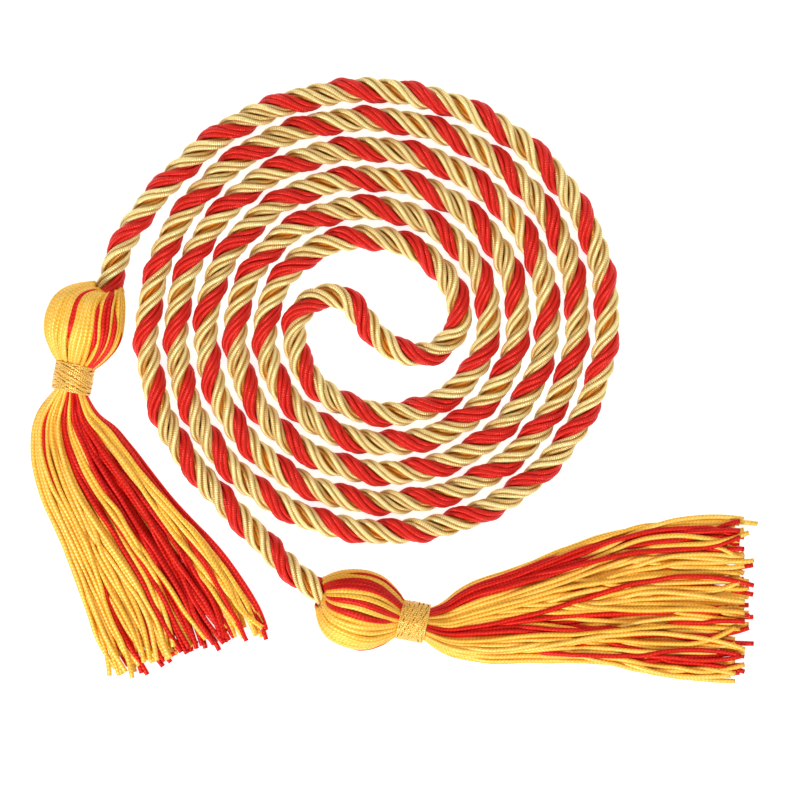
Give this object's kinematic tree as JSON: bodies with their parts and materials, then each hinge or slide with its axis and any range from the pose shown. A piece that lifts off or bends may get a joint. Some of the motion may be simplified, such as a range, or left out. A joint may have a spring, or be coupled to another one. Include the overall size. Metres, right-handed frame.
{
  "type": "honor cord",
  "caption": "Twisted three-ply cord in red and gold, laid flat in a double spiral, with a bound tassel of loose yarn at each end.",
  "frame": {"origin": "on the surface that the cord lies on, under the middle of the whole object", "axes": "+X to the right in the picture, along the longer side; +Y up in the picture; +Z up from the surface"},
  "size_m": [0.1866, 0.161, 0.0173],
  "materials": {
    "cord_red": "red rayon satin yarn, softly shiny",
    "cord_gold": "pale gold rayon satin yarn, softly shiny",
    "tassel_yarn": "golden and red knitted rayon yarn",
    "neck_thread": "fine gold thread, wound close"
  },
  "bodies": {
    "root": {"ply_red": "cord_red", "ply_gold_a": "cord_gold", "ply_gold_b": "cord_gold", "tassel_left": "tassel_yarn", "tassel_lower": "tassel_yarn", "neck_wrap_left": "neck_thread", "neck_wrap_lower": "neck_thread"}
  },
  "joints": []
}
